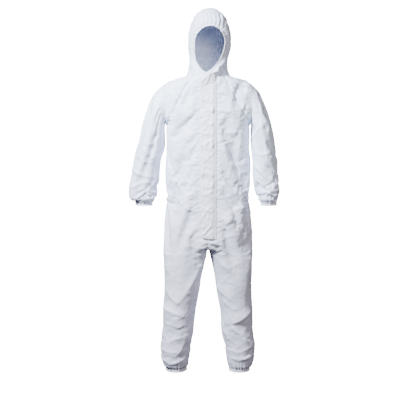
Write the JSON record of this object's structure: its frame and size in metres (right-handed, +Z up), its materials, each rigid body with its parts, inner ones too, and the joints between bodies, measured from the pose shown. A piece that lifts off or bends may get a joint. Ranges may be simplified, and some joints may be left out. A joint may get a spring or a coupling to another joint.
{
  "type": "protective coverall",
  "caption": "Hooded one-piece protective coverall of white laminated nonwoven, with raglan sleeves, front zip under a storm flap, and elastics at face, cuffs, waist and ankles.",
  "frame": {"origin": "on the floor line of the two ankle hems, midway between them, on the wearer's upright centre line", "axes": "+Z up from the ankles to the hood; the front with the zip faces -Y; +X is towards the wearer's left sleeve"},
  "size_m": [0.665, 0.2773, 1.6035],
  "materials": {
    "laminate": "white microporous film on nonwoven, matt with a soft papery sheen, crisp creases",
    "elastic": "off-white covered elastic",
    "tape": "white woven zip tape",
    "zip_plastic": "white nylon and enamelled slider",
    "adhesive": "self-adhesive strip under its release paper",
    "label": "blank satin label"
  },
  "bodies": {
    "suit": {"front_left_panel": "laminate", "front_right_panel": "laminate", "back_left_panel": "laminate", "back_right_panel": "laminate", "yoke_left": "laminate", "yoke_right": "laminate", "waist_elastic": "elastic", "ankle_elastic_left": "elastic", "ankle_elastic_right": "elastic", "size_label": "label", "zip_tape_left": "tape", "zip_tape_right": "tape", "zip_coil_left": "zip_plastic", "zip_coil_right": "zip_plastic", "zip_top_stop_left": "zip_plastic", "zip_top_stop_right": "zip_plastic", "zip_bottom_stop": "zip_plastic"},
    "hood": {"hood_centre_panel": "laminate", "hood_left_panel": "laminate", "hood_right_panel": "laminate", "face_elastic": "elastic"},
    "sleeve_left": {"sleeve_left": "laminate", "cuff_elastic_left": "elastic"},
    "sleeve_right": {"sleeve_right": "laminate", "cuff_elastic_right": "elastic"},
    "slider": {"zip_slider": "zip_plastic"},
    "pull": {"zip_pull": "zip_plastic"},
    "flap": {"storm_flap": "laminate", "flap_adhesive_strip": "adhesive", "chin_flap": "laminate"}
  },
  "joints": [
    {"name": "slider_travel", "type": "slide", "parent": "suit", "child": "slider", "axis": [0, 0.0235, 0.9997], "range_m": [-0.64, 0]},
    {"name": "pull_swing", "type": "hinge", "parent": "slider", "child": "pull", "pos_m": [0, -0.11489, 1.28756], "axis": [-1, 0, 0], "range_deg": [0, 80]},
    {"name": "flap_open", "type": "hinge", "parent": "suit", "child": "flap", "pos_m": [0.0325, -0.1128, 1.30002], "axis": [0, 0.0235, 0.9997], "range_deg": [0, 140]},
    {"name": "hood_fold_back", "type": "hinge", "parent": "suit", "child": "hood", "pos_m": [0, 0.083, 1.312], "axis": [-1, 0, 0], "range_deg": [0, 100]},
    {"name": "sleeve_left_raise", "type": "hinge", "parent": "suit", "child": "sleeve_left", "pos_m": [0.197, 0, 1.281], "axis": [0, -1, 0], "range_deg": [0, 70]},
    {"name": "sleeve_right_raise", "type": "hinge", "parent": "suit", "child": "sleeve_right", "pos_m": [-0.197, 0, 1.281], "axis": [0, 1, 0], "range_deg": [0, 70]}
  ]
}
